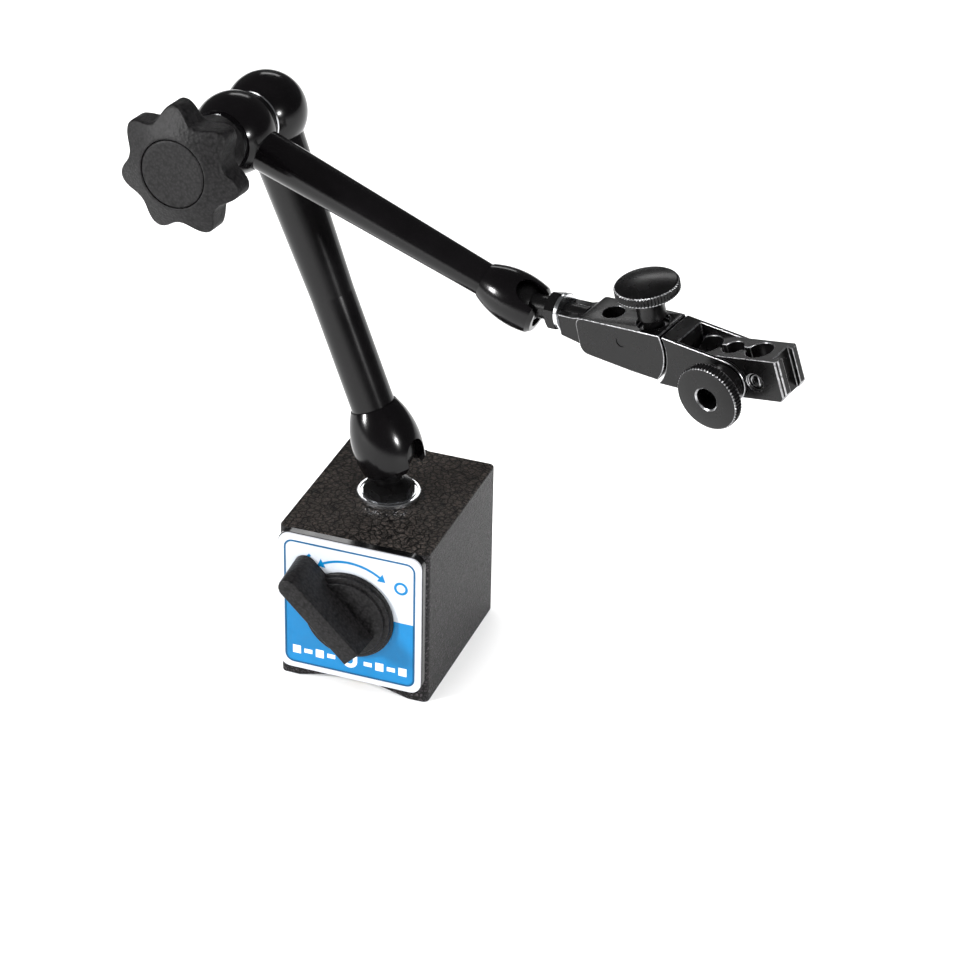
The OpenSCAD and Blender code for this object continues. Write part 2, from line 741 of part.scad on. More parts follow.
module holder_washer()
    color("#c7c9cb") holder_frame() translate([holder_start, 0, 0]) rotate([0, 90, 0]) difference() {
        disc(5.6, holder_washer_t, 0.2);
        translate([0, 0, -over]) cylinder(r = stem_thread_r + 0.1, h = 5);
    }

module hinge_hole(r, w) translate([hinge_x, 0, hinge_z]) along_y(r, -w / 2, w / 2);

module fine_body()
    color("#141416") holder_frame() difference() {
        union() {
            side_plate([[body_start, -4.9], [body_start + 7, -6.6], [31, -6.6], [31, fine_top],
                [28.4, fine_top], [25.6, 2.9], [22.5, 2.1], [body_start, 2.1]], 9.6);
            intersection() {
                side_plate(concat([[60, fine_top], [28, fine_top]], arc(27.3, 1.2, 2.7, 90, 180, 4),
                    arc(27.6, -5.3, 3, 190, 260, 5), [[42, -10.4], [60, -12.2]]), holder_w);
                union() {
                    hinge_hole(hinge_end_r, holder_w + 2);
                    translate([20, -holder_w, -20]) cube([hinge_x - 16, 2 * holder_w, 30]);
                }
            }
        }
        along_x(stem_thread_r + run, body_start - over, body_start + 8.5);
        hinge_hole(hinge_pin_r + seat, holder_w + 2);
        translate([cross_hole_x, 0, -20]) cylinder(r = cross_hole_r, h = 30);
        translate([fine_screw_x, 0, fine_top - 1.6]) cylinder(r = 4.9, h = 5);
        translate([fine_screw_x, 0, slot_top - over]) cylinder(r = fine_thread_r + run, h = 8);
        translate([hinge_x - 2.6, -slot_w / 2, slot_bottom]) cube([25, slot_w, slot_top - slot_bottom]);
        translate([fine_screw_x, 0, -9.9]) cylinder(r = 2.3, h = 5);
    }

module hinge_pin() color("#8d9094") holder_frame() hinge_hole(hinge_pin_r, holder_w - 0.4);

module fine_spring()
    color("#a9adb1") holder_frame() translate([fine_screw_x, 0, -9.8]) coil(1.6, 0.3, 0.75, 4);

module fine_pusher()
    color("#b08d3e") holder_frame() translate([fine_screw_x, 0, tongue_top + 0.1]) union() {
        cylinder(r = 1.2, h = 1);
        translate([0, 0, 0.8]) cylinder(r = fine_thread_r - 0.1, h = 1);
    }

module fine_screw()
    color("#1c1c1f") holder_frame() translate([fine_screw_x, 0, 0]) union() {
        translate([0, 0, pusher_top]) cylinder(r = fine_thread_r, h = head_bottom - pusher_top);
        translate([0, 0, fine_top + 1.4]) disc(fine_neck_r, head_bottom - fine_top - 1, 0.4);
        translate([0, 0, head_bottom]) disc(fine_head_r, head_rim, 0.35);
        translate([0, 0, head_bottom + head_rim - 0.01]) intersection() {
            translate([0, 0, -31.5]) sphere(32.8, $fn = 128);
            cylinder(r = fine_head_r - 0.4, h = 4);
        }
    }

module yoke()
    color("#141416") holder_frame() difference() {
        union() {
            side_plate(concat([[fine_end - 3, 4.2], [fine_end - 6, -12.4], [pivot_x, pivot_z - 6.2]],
                arc(pivot_x, pivot_z + 0.5, cheek_end_r, -90, 78, 12)), holder_w);
            translate([hinge_x, -slot_w / 2 + 0.15, tongue_bottom])
                cube([18, slot_w - 0.3, tongue_top - tongue_bottom]);
            translate([hinge_x, 0, hinge_z - 2]) along_y(2.2, -slot_w / 2 + 0.15, slot_w / 2 - 0.15);
        }
        difference() {
            hinge_hole(yoke_r, holder_w + 2);
            translate([hinge_x - 9, -slot_w / 2 + 0.15, tongue_bottom])
                cube([40, slot_w - 0.3, tongue_top - tongue_bottom]);
        }
        hinge_hole(hinge_pin_r + run, holder_w);
        translate([yoke_slot_x, -cheek_in, -30]) cube([40, 2 * cheek_in, 60]);
        translate([pivot_x, 0, pivot_z]) along_y(clamp_screw_r + run, -holder_w, holder_w);
    }

// ---- Clamp ----

module clamp_outline(w) {
    c = 1.6;
    translate([-clamp_back, -w]) polygon([[c, 0], [clamp_back + clamp_front - 0.8, 0],
        [clamp_back + clamp_front, 0.8], [clamp_back + clamp_front, 2 * w - 0.8],
        [clamp_back + clamp_front - 0.8, 2 * w], [c, 2 * w], [0, 2 * w - c], [0, c]]);
}

module clamp_block()
    color("#161618") clamp_frame() difference() {
        intersection() {
            translate([0, 0, -clamp_bottom]) linear_extrude(clamp_top + clamp_bottom)
                clamp_outline(clamp_half_w);
            side_plate([[-clamp_back - 1, -clamp_bottom + 4.5], [-clamp_back + 3, -clamp_bottom],
                [clamp_front - 2, -clamp_bottom], [clamp_front + over, -clamp_bottom + 3],
                [clamp_front + over, clamp_top], [-clamp_back - 1, clamp_top]], 20);
            union() {
                along_y(clamp_back + 0.3, -10, 10);
                translate([0, -10, -20]) cube([40, 20, 40]);
            }
        }
        translate([large_bore_x, 0, -20]) cylinder(r = large_bore_r, h = 40);
        translate([small_bore_x, 0, -20]) cylinder(r = small_bore_r, h = 40);
        translate([middle_hole_x, 0, clamp_screw_r + 0.6]) cylinder(r = middle_hole_r, h = 20);
        translate([-clamp_back - over, -slit_w / 2, -20]) cube([clamp_back + small_bore_x, slit_w, 40]);
        along_y(clamp_screw_r + 0.1, -10, 10);
        translate([small_bore_x, 0, 0.4]) along_y(1.65, -10, 0);
        translate([small_bore_x, 0, 0.4]) along_y(2.7, -10, -clamp_half_w + 0.8);
        translate([0, 0, -20]) linear_extrude(40)
            polygon([[clamp_front - 2.2, -3.3], [clamp_front + 0.01, -2.4], [clamp_front + 1, -2.4],
                [clamp_front + 1, 2.4], [clamp_front + 0.01, 2.4], [clamp_front - 2.2, 3.3]]);
    }

module clamp_screw()
    color("#1c1c1f") holder_frame() translate([pivot_x, 0, pivot_z]) difference() {
        union() {
            along_y(clamp_screw_r, -holder_w / 2 - 1, holder_w / 2 - 0.2);
            translate([0, -holder_w / 2 - 0.05, 0]) rotate([90, 0, 0])
                disc(6.3, clamp_head_out - clamp_head_t - holder_w / 2 + 0.2, 0.4);
            translate([0, -clamp_head_out + clamp_head_t, 0]) rotate([90, 0, 0])
                disc(clamp_head_r, clamp_head_t, 0.35);
        }
        along_y(3.3, -clamp_head_out - over, -clamp_head_out + 5);
    }

pole_left();
pole_right();
separator_top();
separator_bottom();
front_bearing();
rear_cover();
stop_pin();
detent_ball();
detent_spring();
front_bezel();
bezel_screws();
label_plate();
stud_washer();
switch_knob();
knob_pin();
rotor_shaft();
rotor_magnet();
rotor_caps();
swivel_stud();
lower_cup();
lower_tube();
rear_elbow_ball();
elbow_ring();
lower_push_rod();
lower_seat();
elbow_bolt();
rear_wedge();
front_wedge();
star_knob();
knob_insert();
knob_cap();
knob_washer();
front_elbow_ball();
upper_tube();
upper_cup();
upper_push_rod();
upper_seat();
holder_stud();
holder_washer();
fine_body();
hinge_pin();
fine_spring();
fine_pusher();
fine_screw();
yoke();
clamp_block();
clamp_screw();
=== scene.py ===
"""Looks of a magnetic base with a jointed arm and a fine-adjusting clamp, laid out as a Blender add-on."""
import json
import math

import bmesh
import bpy
from bpy.props import FloatProperty, FloatVectorProperty, IntProperty, PointerProperty
from bpy.types import Operator, Panel, PropertyGroup
from mathutils import Matrix, Vector


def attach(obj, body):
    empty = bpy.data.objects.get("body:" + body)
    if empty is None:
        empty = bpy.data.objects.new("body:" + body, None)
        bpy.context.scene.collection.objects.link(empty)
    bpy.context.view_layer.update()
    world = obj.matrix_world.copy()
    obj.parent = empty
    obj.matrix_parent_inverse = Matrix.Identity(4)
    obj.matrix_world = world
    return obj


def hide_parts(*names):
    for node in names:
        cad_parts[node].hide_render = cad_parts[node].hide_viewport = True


bl_info = {
    "name": "Magnetic Stand",
    "version": (1, 0, 0),
    "blender": (4, 5, 0),
    "location": "View3D > Sidebar > Stand",
    "description": "Finishes and fine detail of a magnetic base with a jointed arm",
    "category": "Object",
}

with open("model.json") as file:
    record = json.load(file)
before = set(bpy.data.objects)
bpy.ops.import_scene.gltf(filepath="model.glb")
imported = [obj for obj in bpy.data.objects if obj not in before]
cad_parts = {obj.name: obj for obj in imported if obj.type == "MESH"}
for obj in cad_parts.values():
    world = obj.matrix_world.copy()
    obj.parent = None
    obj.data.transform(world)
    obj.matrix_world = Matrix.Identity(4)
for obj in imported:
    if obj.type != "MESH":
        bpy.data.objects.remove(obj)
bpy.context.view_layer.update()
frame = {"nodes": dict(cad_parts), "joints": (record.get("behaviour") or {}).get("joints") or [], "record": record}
JOINTS = {joint["name"]: joint for joint in frame["joints"]}
MM = 0.001


# ---- Places, taken from the joints ----

def joint_pos(name):
    return Vector(JOINTS[name]["pos_m"])


def joint_axis(name):
    return Vector(JOINTS[name]["axis"]).normalized()


def place_at(origin, z, x=None, y=None):
    """Matrix of a local frame from its origin, its Z axis and one of its other axes."""
    if x is None:
        x = y.cross(z)
    else:
        y = z.cross(x)
    x, y, z = x.normalized(), y.normalized(), z.normalized()
    turn = Matrix((x, y, z)).transposed().to_4x4()
    return Matrix.Translation(origin) @ turn


def local_box(node, place):
    """Lowest and highest corner of a CAD node in a local frame, in millimetres."""
    back = place.inverted()
    points = [back @ v.co for v in frame["nodes"][node].data.vertices]
    low = [min(p[i] for p in points) / MM for i in range(3)]
    high = [max(p[i] for p in points) / MM for i in range(3)]
    return low, high


ELBOW_AXIS = joint_axis("elbow_fold")
KNOB_PLACE = place_at(joint_pos("knob_turn"), y=ELBOW_AXIS, z=joint_axis("lower_rod_push"))
HOLDER_PLACE = place_at(joint_pos("holder_tilt"), x=joint_axis("holder_swivel"), z=-joint_axis("fine_push"))
SWITCH_PLACE = place_at(joint_pos("switch_turn"), x=Vector((1, 0, 0)), z=Vector((0, 0, 1)))


# ---- Meshes ----

def new_object(name, points, faces, place=None, sharp=35):
    """A closed mesh in millimetres in its local frame, set down as an object in metres."""
    mesh = bpy.data.meshes.new(name)
    place = place or Matrix.Identity(4)
    mesh.from_pydata([place @ (Vector(p) * MM) for p in points], [], faces)
    shell = bmesh.new()
    shell.from_mesh(mesh)
    bmesh.ops.remove_doubles(shell, verts=shell.verts, dist=1e-7)
    bmesh.ops.recalc_face_normals(shell, faces=shell.faces)
    shell.to_mesh(mesh)
    shell.free()
    mesh.shade_smooth()
    mesh.set_sharp_from_angle(angle=math.radians(sharp))
    obj = bpy.data.objects.new(name, mesh)
    bpy.context.collection.objects.link(obj)
    return obj


def skin(rings, looped=False):
    """Points and faces over a stack of rings. A looped stack closes on itself, others get end faces."""
    count = len(rings[0])
    points = [p for ring in rings for p in ring]
    faces = []
    for k in range(len(rings) if looped else len(rings) - 1):
        a, b = k * count, (k + 1) % len(rings) * count
        faces += [(a + i, a + (i + 1) % count, b + (i + 1) % count, b + i) for i in range(count)]
    if not looped:
        last = (len(rings) - 1) * count
        faces += [tuple(range(count)), tuple(range(last, last + count))]
    return points, faces


def turned_rings(profile, segments, shape=None):
    """Rings about Z from (radius, height) pairs. shape(angle, radius, height) may move each point."""
    rings = []
    for radius, height in profile:
        ring = []
        for i in range(segments):
            angle = 2 * math.pi * i / segments
            r, h = shape(angle, radius, height) if shape else (radius, height)
            ring.append((r * math.cos(angle), r * math.sin(angle), h))
        rings.append(ring)
    return rings


def turned(name, profile, place, segments=128, looped=False, shape=None, sharp=35):
    return new_object(name, *skin(turned_rings(profile, segments, shape), looped), place, sharp)


def give_highlight_bands(obj, segments, steps):
    """Gives the second finish of a turned piece, a painted edge highlight, to the bands that start at these steps
    of its profile.
    """
    for step in steps:
        for face in obj.data.polygons[step * segments:(step + 1) * segments]:
            face.material_index = 1


def prism(outline, low, high):
    """Points and faces of an XZ outline drawn between two Y values."""
    return skin([[(x, y, z) for x, z in outline] for y in (low, high)])


def inset(outline, by, centre):
    """The outline moved inwards by a distance, corner by corner."""
    if not by:
        return outline
    moved, count = [], len(outline)
    for i, (x, z) in enumerate(outline):
        (ax, az), (bx, bz) = outline[i - 1], outline[(i + 1) % count]
        first, second = Vector((x - ax, z - az)).normalized(), Vector((bx - x, bz - z)).normalized()
        n1, n2 = Vector((-first.y, first.x)), Vector((-second.y, second.x))
        normal = (n1 + n2).normalized()
        if normal.dot(Vector((centre[0] - x, centre[1] - z))) < 0 and normal.dot(n1) > 0.9:
            normal = -normal
        reach = by / max(0.5, abs(normal.dot(n1)))
        moved.append((x + normal.x * reach, z + normal.y * reach))
    return moved


def round_rect(width, height, corner, centre_z, steps=8):
    """Rounded rectangle in XZ, walked anticlockwise."""
    outline = []
    for sx, sz, start in ((1, -1, -90), (1, 1, 0), (-1, 1, 90), (-1, -1, 180)):
        cx, cz = sx * (width / 2 - corner), centre_z + sz * (height / 2 - corner)
        for i in range(steps + 1):
            angle = math.radians(start + 90 * i / steps)
            outline.append((cx + corner * math.cos(angle), cz + corner * math.sin(angle)))
    return outline


def frame_band(outer, inner, low, high):
    """Points and faces of a flat closed band between two outlines with the same number of points."""
    sides = ((outer, low), (outer, high), (inner, high), (inner, low))
    rings = [[(x, y, z) for x, z in line] for line, y in sides]
    return skin(rings, looped=True)


def near_hinge_pin(point):
    """Whether a point is so near the pin of the fine adjustment that its edge has to stay sharp."""
    keep_out = 2.4 * MM
    away = point - joint_pos("yoke_tilt")
    axis = joint_axis("yoke_tilt")
    return (away - axis * away.dot(axis)).length < keep_out


def softened(node, width, edge_finish=None, segments=2, angle=32, seam=0.0):
    """A copy of a CAD node with real rounded edges, except near the seam x = 0 and the hinge pin."""
    source = frame["nodes"][node]
    mesh = source.data.copy()
    mesh.materials.clear()
    shell = bmesh.new()
    shell.from_mesh(mesh)
    bmesh.ops.remove_doubles(shell, verts=shell.verts, dist=2e-6)
    bmesh.ops.dissolve_limit(shell, angle_limit=math.radians(0.6), verts=shell.verts, edges=shell.edges)
    weight = shell.edges.layers.float.new("bevel_weight_edge")
    for edge in shell.edges:
        in_seam = all(abs(v.co.x) < seam * MM or near_hinge_pin(v.co) for v in edge.verts)
        if len(edge.link_faces) == 2 and edge.calc_face_angle(0) > math.radians(angle) and not in_seam:
            edge[weight] = 1.0
    shell.to_mesh(mesh)
    shell.free()
    mesh.shade_smooth()
    mesh.set_sharp_from_angle(angle=math.radians(angle))
    obj = bpy.data.objects.new(node + "_eased", mesh)
    bpy.context.collection.objects.link(obj)
    bevel = obj.modifiers.new("eased_edges", "BEVEL")
    bevel.width = width * MM
    bevel.segments = segments
    bevel.limit_method = "WEIGHT"
    bevel.use_clamp_overlap = False
    bevel.harden_normals = True
    # The bevels take the second finish, a painted edge highlight.
    if edge_finish:
        bevel.material = 1
    return obj


def seat_piece(obj, body, finish, nodes=(), edge_finish=None):
    """Gives a piece its finish and its body, and hides the CAD nodes that it stands for."""
    obj.data.materials.append(finish)
    if edge_finish:
        obj.data.materials.append(edge_finish)
    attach(obj, body)
    if nodes:
        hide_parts(*nodes)
    return obj


# ---- Finishes ----

class Recipe:
    """Builds one procedural finish around a single shader."""

    def __init__(self, name):
        self.material = bpy.data.materials.new(name)
        self.material.use_nodes = True
        self.nodes = self.material.node_tree.nodes
        self.links = self.material.node_tree.links
        self.shader = self.nodes["Principled BSDF"]
        self.where = self.add("ShaderNodeTexCoord").outputs["Object"]

    def add(self, kind, settings=None, **inputs):
        node = self.nodes.new(kind)
        for key, value in (settings or {}).items():
            setattr(node, key, value)
        for key, value in inputs.items():
            self.put(node.inputs[int(key[1:])] if key[1:].isdigit() else node.inputs[key.replace("_", " ")],
                     value)
        return node

    def put(self, socket, value):
        if isinstance(value, bpy.types.NodeSocket):
            self.links.new(value, socket)
        else:
            socket.default_value = value

    def math(self, operation, a, b=0.0, c=0.0):
        return self.add("ShaderNodeMath", {"operation": operation}, i0=a, i1=b, i2=c).outputs[0]

    def stretched(self, scale):
        return self.add("ShaderNodeMapping", i0=self.where, i3=scale).outputs[0]

    def noise(self, scale, detail=3.0, rough=0.55, where=None):
        return self.add("ShaderNodeTexNoise", Vector=where or self.where, Scale=scale, Detail=detail,
                        Roughness=rough).outputs["Fac"]

    def cells(self, scale, feature="F1", where=None):
        return self.add("ShaderNodeTexVoronoi", {"feature": feature}, Vector=where or self.where,
                        Scale=scale).outputs["Distance"]

    def warped(self, scale, amount):
        """The place, pushed about by a slow noise so that cells aren't regular."""
        noise = self.add("ShaderNodeTexNoise", Vector=self.where, Scale=scale, Detail=2.0)
        push = self.add("ShaderNodeVectorMath", {"operation": "SCALE"}, i0=noise.outputs["Color"],
                        i3=amount)
        return self.add("ShaderNodeVectorMath", {"operation": "ADD"}, i0=self.where,
                        i1=push.outputs[0]).outputs[0]

    def spread(self, value, low, high, to_low=0.0, to_high=1.0):
        return self.add("ShaderNodeMapRange", i0=value, i1=low, i2=high, i3=to_low, i4=to_high).outputs[0]

    def blend(self, factor, first, second):
        mix = self.add("ShaderNodeMix", {"data_type": "RGBA"}, i0=factor)
        self.put(mix.inputs[6], first if isinstance(first, bpy.types.NodeSocket) else (*first, 1))
        self.put(mix.inputs[7], second if isinstance(second, bpy.types.NodeSocket) else (*second, 1))
        return mix.outputs[2]

    def bump(self, height, depth):
        return self.add("ShaderNodeBump", Height=height, Distance=depth * MM,
                        Strength=1.0).outputs["Normal"]

    def pick(self, factor, first, second):
        """The first value, or the second where the factor is one."""
        return self.add("ShaderNodeMix", i0=factor, i2=first, i3=second).outputs[0]

    def pick_normal(self, factor, first, second):
        return self.add("ShaderNodeMix", {"data_type": "VECTOR"}, i0=factor, i4=first, i5=second).outputs[1]

    def shade(self, **inputs):
        for key, value in inputs.items():
            socket = self.shader.inputs[key.replace("_", " ")]
            is_plain_colour = isinstance(value, tuple) and len(value) == 3
            self.put(socket, (*value, 1) if is_plain_colour else value)
        return self.material


def scaled(colour, by):
    """The colour made darker or lighter."""
    return tuple(c * by for c in colour)


def wrinkle_paint(name, colour, steel):
    """Stoved wrinkle paint, coarser on level faces, with faces that look down ground bare. Its crests carry a
    painted sheen, browner on level faces, and its hollows a painted shade.
    """
    r = Recipe(name)
    normal = r.add("ShaderNodeTexCoord").outputs["Normal"]
    up = r.add("ShaderNodeSeparateXYZ", i0=normal).outputs[2]
    bare = r.math("LESS_THAN", up, -0.3)
    level = r.math("GREATER_THAN", up, 0.6)

    place = r.warped(420, 0.0011)
    coarse = r.spread(r.cells(460, "DISTANCE_TO_EDGE", place), 0.01, 0.13)
    fine = r.spread(r.cells(700, "DISTANCE_TO_EDGE", place), 0.02, 0.30)
    grain = r.noise(1500, 4, 0.75)
    height = r.math("MULTIPLY", r.pick(level, fine, coarse), r.spread(grain, 0.40, 0.62))
    # Painted light: the crests get a painted sheen, browner on level faces, and the hollows between them a painted
    # shade.
    level_painted_sheen = tuple(c * k for c, k in zip(colour, (6.0, 5.9, 4.6)))
    painted_crest_sheen = r.blend(level, scaled(colour, 6.5), level_painted_sheen)
    paint = r.blend(r.spread(height, 0.15, 0.95), scaled(colour, 0.05), painted_crest_sheen)

    lines = r.noise(1.0, 4, 0.6, r.stretched((420, 9000, 420)))
    ground = r.blend(lines, scaled(steel, 0.75), scaled(steel, 1.1))
    rough = r.spread(grain, 0.3, 0.7, 0.34, 0.56)
    return r.shade(Base_Color=r.blend(bare, paint, ground), Metallic=bare,
                   Normal=r.pick_normal(bare, r.bump(height, 0.22), r.bump(lines, 0.004)),
                   Roughness=r.math("MULTIPLY_ADD", bare, -0.12, rough), Specular_IOR_Level=0.2)


def gloss_enamel(name, colour):
    """Gloss enamel with a faint orange peel and dust."""
    r = Recipe(name)
    peel = r.noise(620, 2, 0.5)
    dust = r.noise(60, 4, 0.6)
    return r.shade(Base_Color=r.blend(r.spread(dust, 0.35, 0.7), colour, scaled(colour, 1.5)),
                   Roughness=r.spread(dust, 0.3, 0.7, 0.14, 0.20), Normal=r.bump(peel, 0.003),
                   Specular_IOR_Level=0.22)


def black_oxide(name, colour):
    """Oil-blackened steel with a slight cloud in its sheen."""
    r = Recipe(name)
    grain = r.noise(3800, 3, 0.6)
    cloud = r.noise(110, 4, 0.55)
    return r.shade(Base_Color=r.blend(r.spread(cloud, 0.35, 0.7), scaled(colour, 0.75),
                                      scaled(colour, 1.5)),
                   Roughness=r.spread(cloud, 0.3, 0.7, 0.22, 0.32), Normal=r.bump(grain, 0.006),
                   Specular_IOR_Level=0.2)


def edge_highlight_metal(name, colour):
    """Bright metal for bevelled edges and chamfers, a painted edge highlight in patches."""
    r = Recipe(name)
    patchiness = r.noise(900, 4, 0.65)
    return r.shade(Base_Color=r.blend(r.spread(patchiness, 0.35, 0.65), scaled(colour, 0.35), colour),
                   Metallic=1.0,
                   Roughness=r.spread(patchiness, 0.3, 0.7, 0.24, 0.42), Normal=r.bump(patchiness, 0.006))


def moulded_grain(name, colour, roughness=0.5):
    """Fine leather grain of a moulded hand knob."""
    r = Recipe(name)
    place = r.warped(900, 0.0004)
    pebbles = r.cells(1250, "SMOOTH_F1", place)
    fine = r.noise(5200, 2)
    height = r.math("MULTIPLY_ADD", fine, 0.35, pebbles)
    cloud = r.noise(70, 3)
    return r.shade(Base_Color=r.blend(r.spread(height, 0.2, 0.9), scaled(colour, 3.0), scaled(colour, 0.3)),
                   Roughness=r.spread(cloud, 0.3, 0.7, roughness - 0.05, roughness + 0.06),
                   Normal=r.bump(height, 0.09), Specular_IOR_Level=0.16)


def gloss_moulding(name, colour):
    """Glossy moulding with shallow flow ripples."""
    r = Recipe(name)
    ripple = r.noise(160, 3)
    return r.shade(Base_Color=r.blend(ripple, colour, scaled(colour, 1.6)),
                   Normal=r.bump(r.noise(1400, 2), 0.006),
                   Roughness=r.spread(ripple, 0.3, 0.7, 0.12, 0.20))


def bright_plate(name, colour):
    """Bright plating, rubbed and finely scratched."""
    r = Recipe(name)
    patchiness = r.noise(420, 4, 0.6)
    scratch = r.noise(1.0, 3, 0.6, r.stretched((5200, 5200, 600)))
    return r.shade(Base_Color=r.blend(r.spread(patchiness, 0.3, 0.7), scaled(colour, 0.85), colour), Metallic=1.0,
                   Roughness=r.spread(patchiness, 0.3, 0.7, 0.13, 0.24), Normal=r.bump(scratch, 0.003))


def ground_steel(name, colour):
    """Ground steel with fine parallel lines."""
    r = Recipe(name)
    lines = r.noise(1.0, 4, 0.6, r.stretched((900, 900, 7000)))
    return r.shade(Base_Color=r.blend(lines, scaled(colour, 0.7), scaled(colour, 1.15)), Metallic=1.0,
                   Roughness=r.spread(lines, 0.3, 0.7, 0.28, 0.42), Normal=r.bump(lines, 0.005))


def machined_brass(name, colour):
    """Turned brass, a little tarnished."""
    r = Recipe(name)
    rings = r.noise(1.0, 3, 0.55, r.stretched((600, 6500, 600)))
    tarnish = r.noise(140, 4, 0.6)
    shade = r.blend(r.spread(tarnish, 0.4, 0.7), colour, scaled(colour, 0.6))
    return r.shade(Base_Color=shade, Metallic=1.0, Normal=r.bump(rings, 0.005),
                   Roughness=r.spread(tarnish, 0.3, 0.7, 0.26, 0.42))


def sintered(name, colour):
    """Grainy pressed magnet."""
    r = Recipe(name)
    grain = r.noise(2600, 5, 0.7)
    return r.shade(Base_Color=r.blend(grain, scaled(colour, 0.6), scaled(colour, 1.3)), Metallic=0.6,
                   Roughness=r.spread(grain, 0.3, 0.7, 0.5, 0.75), Normal=r.bump(grain, 0.03))


def printed_plate(name, colour):
    """Satin aluminium label stock with a fine brushed grain."""
    r = Recipe(name)
    lines = r.noise(1.0, 4, 0.6, r.stretched((500, 4000, 9000)))
    return r.shade(Base_Color=r.blend(r.spread(lines, 0.3, 0.7), scaled(colour, 0.93), colour),
                   Metallic=0.15,
                   Roughness=r.spread(lines, 0.3, 0.7, 0.30, 0.42), Normal=r.bump(lines, 0.002),
                   Specular_IOR_Level=0.3)


def ink(name, colour):
    """Screen-printed ink, very slightly mottled."""
    r = Recipe(name)
    dots = r.cells(3200)
    mottle = r.noise(240, 4, 0.6)
    both = r.math("MULTIPLY_ADD", dots, 0.4, mottle)
    return r.shade(Base_Color=r.blend(r.spread(both, 0.3, 0.9), colour, scaled(colour, 0.88)),
                   Roughness=r.spread(mottle, 0.3, 0.7, 0.28, 0.38), Normal=r.bump(both, 0.002),
                   Specular_IOR_Level=0.25)


def studio_paper(name, colour):
    """Pale background paper with a little tooth."""
    r = Recipe(name)
    tooth = r.noise(30, 4)
    return r.shade(Base_Color=r.blend(tooth, scaled(colour, 0.985), colour), Roughness=0.85,
                   Normal=r.bump(tooth, 0.02))


FINISHES = {}


# ---- Sizes and colours that a user would change ----

def colour_prop(name, description, default):
    return FloatVectorProperty(name=name, description=description, default=default, size=3, subtype="COLOR",
                               min=0.0, max=1.0)


def length_prop(name, description, default):
    return FloatProperty(name=name, description=description, default=default, min=0.0, unit="LENGTH",
                         subtype="DISTANCE", precision=5)


class StandColours(PropertyGroup):
    wrinkle: colour_prop("Wrinkle paint", "Paint of the magnet block", (0.0115, 0.0098, 0.0110))
    enamel: colour_prop("Enamel", "Gloss enamel of the arm", (0.0016, 0.0014, 0.0016))
    oxide: colour_prop("Black oxide", "Oxide finish of the holder", (0.0022, 0.0021, 0.0022))
    # Bright metal that stands in for the thin highlight lines along the edges: a painted edge highlight.
    edge: colour_prop("Edge highlight", "Bright metal painted on edges as a highlight", (0.42, 0.42, 0.43))
    knob: colour_prop("Knob moulding", "Plastic of the star knob", (0.0036, 0.0034, 0.0036))
    lever: colour_prop("Switch moulding", "Plastic of the magnet switch", (0.0040, 0.0038, 0.0040))
    bezel: colour_prop("Bezel", "Gloss plate behind the label", (0.0015, 0.0015, 0.0016))
    nickel: colour_prop("Nickel", "Plated washers and rings", (0.74, 0.75, 0.77))
    steel: colour_prop("Steel", "Ground steel", (0.52, 0.53, 0.55))
    brass: colour_prop("Brass", "Machined brass", (0.62, 0.44, 0.17))
    magnet: colour_prop("Magnet", "Sintered magnet", (0.18, 0.18, 0.19))
    label: colour_prop("Label", "Bare label stock", (0.52, 0.53, 0.56))
    label_field: colour_prop("Label field", "Upper part of the label", (0.50, 0.53, 0.57))
    label_blue: colour_prop("Label blue", "Lower part of the label", (0.0003, 0.150, 0.36))
    label_line: colour_prop("Label line", "Outline of the label", (0.004, 0.075, 0.17))
    label_white: colour_prop("Label white", "White ink", (0.70, 0.76, 0.80))
    floor: colour_prop("Floor", "Plain pale floor", (0.90, 0.90, 0.90))


class StandSizes(PropertyGroup):
    eased_edge: length_prop("Eased edge", "Bevel on machined edges of the holder", 0.00028)
    block_edge: length_prop("Block edge", "Bevel on the edges of the magnet block", 0.0006)
    knurl_teeth: IntProperty(name="Knurl teeth", description="Teeth round each knurled head", default=60,
                             min=20,
                             max=120)
    knurl_depth: length_prop("Knurl depth", "Depth of the knurl", 0.00045)
    ink_height: length_prop("Ink height", "How far the print stands in front of the label", 0.00004)


class StudioSettings(PropertyGroup):
    camera_place: FloatVectorProperty(name="Camera place", description="Where the camera stands", size=3,
                                      default=(0.3176, -0.8056, 0.5791), subtype="TRANSLATION",
                                      unit="LENGTH")
    lens: FloatProperty(name="Lens", description="Focal length of the camera", default=120.0, min=20.0,
                        max=300.0,
                        unit="CAMERA")
    key_power: FloatProperty(name="Key light", description="Power of the small key light", default=16.0,
                             min=0.0,
                             unit="POWER")
    side_power: FloatProperty(name="Side box", description="Power of the rectangular softbox", default=20.0,
                              min=0.0, unit="POWER")
    top_power: FloatProperty(name="Top light", description="Power of the overhead fill", default=30.0,
                             min=0.0,
                             unit="POWER")
    back_power: FloatProperty(name="Back strip", description="Power of the strip behind the object",
                              default=1.1,
                              min=0.0, unit="POWER")
    daylight: FloatProperty(name="Daylight", description="Strength of the wide overhead daylight",
                            default=2.6,
                            min=0.0)
    sky: FloatProperty(name="Room light", description="Strength of the even room light", default=0.10,
                       min=0.0)


# ---- Operators ----

class StandOperator:
    """What every step of the stand shares."""
    bl_options = {"REGISTER", "UNDO"}


